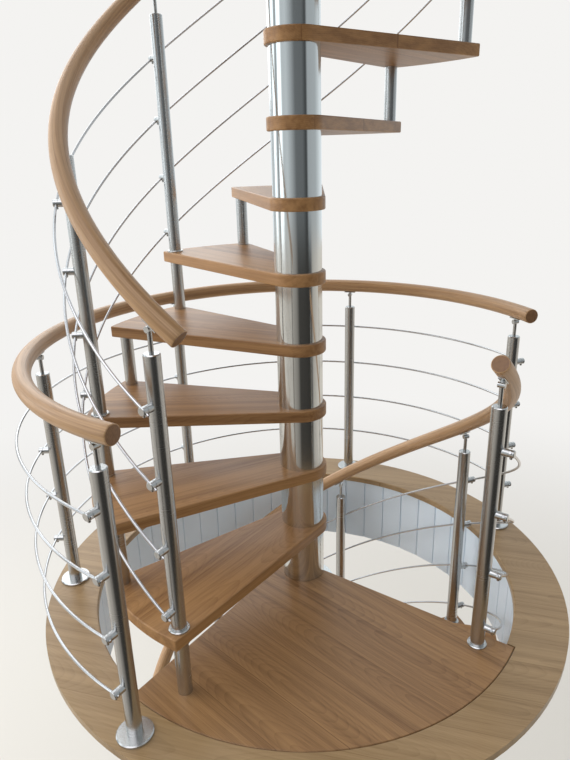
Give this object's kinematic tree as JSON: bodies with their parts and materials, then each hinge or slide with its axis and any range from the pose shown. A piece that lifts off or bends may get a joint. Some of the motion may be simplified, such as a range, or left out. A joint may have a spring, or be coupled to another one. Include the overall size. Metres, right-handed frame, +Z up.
{
  "type": "spiral staircase",
  "caption": "Two-storey spiral staircase of oak treads round a polished steel pole, with rod balustrades and a guarded floor well.",
  "frame": {"origin": "on the pole's axis, on the underside of the base plate at ground level", "axes": "+Z up along the pole, +Y away from the side the picture was taken from, +X to the picture's right"},
  "size_m": [1.7798, 1.7798, 6.5272],
  "materials": {
    "tread_oak": "oiled oak boards",
    "rail_oak": "oiled round oak",
    "floor_oak": "oiled oak floor",
    "white_boards": "white painted boards",
    "polished_steel": "polished stainless steel",
    "satin_steel": "brushed stainless steel",
    "bright_rod": "bright drawn stainless rod"
  },
  "bodies": {
    "root": {"base_plate": "satin_steel", "pole_core": "satin_steel", "pole_cap": "polished_steel", "landing_plate": "tread_oak", "top_landing": "tread_oak", "pole_sleeves": "polished_steel", "tread_spacers": "satin_steel", "balusters_lower": "satin_steel", "balusters_upper": "satin_steel", "guard_balusters": "satin_steel", "handrail_lower": "rail_oak", "handrail_upper": "rail_oak", "guard_handrail": "rail_oak", "rods_lower": "bright_rod", "rods_upper": "bright_rod", "guard_rods": "bright_rod", "well_rim": "floor_oak", "well_lining": "white_boards", "baluster_rosettes": "satin_steel", "handrail_pins": "satin_steel", "rod_holders": "satin_steel", "tread_lower_01": "tread_oak", "tread_lower_02": "tread_oak", "tread_lower_03": "tread_oak", "tread_lower_04": "tread_oak", "tread_lower_05": "tread_oak", "tread_lower_06": "tread_oak", "tread_lower_07": "tread_oak", "tread_lower_08": "tread_oak", "tread_lower_09": "tread_oak", "tread_lower_10": "tread_oak", "tread_lower_11": "tread_oak", "tread_lower_12": "tread_oak", "tread_upper_01": "tread_oak", "tread_upper_02": "tread_oak", "tread_upper_03": "tread_oak", "tread_upper_04": "tread_oak", "tread_upper_05": "tread_oak", "tread_upper_06": "tread_oak", "tread_upper_07": "tread_oak", "tread_upper_08": "tread_oak", "tread_upper_09": "tread_oak", "tread_upper_10": "tread_oak", "tread_upper_11": "tread_oak", "tread_upper_12": "tread_oak"}
  },
  "joints": []
}
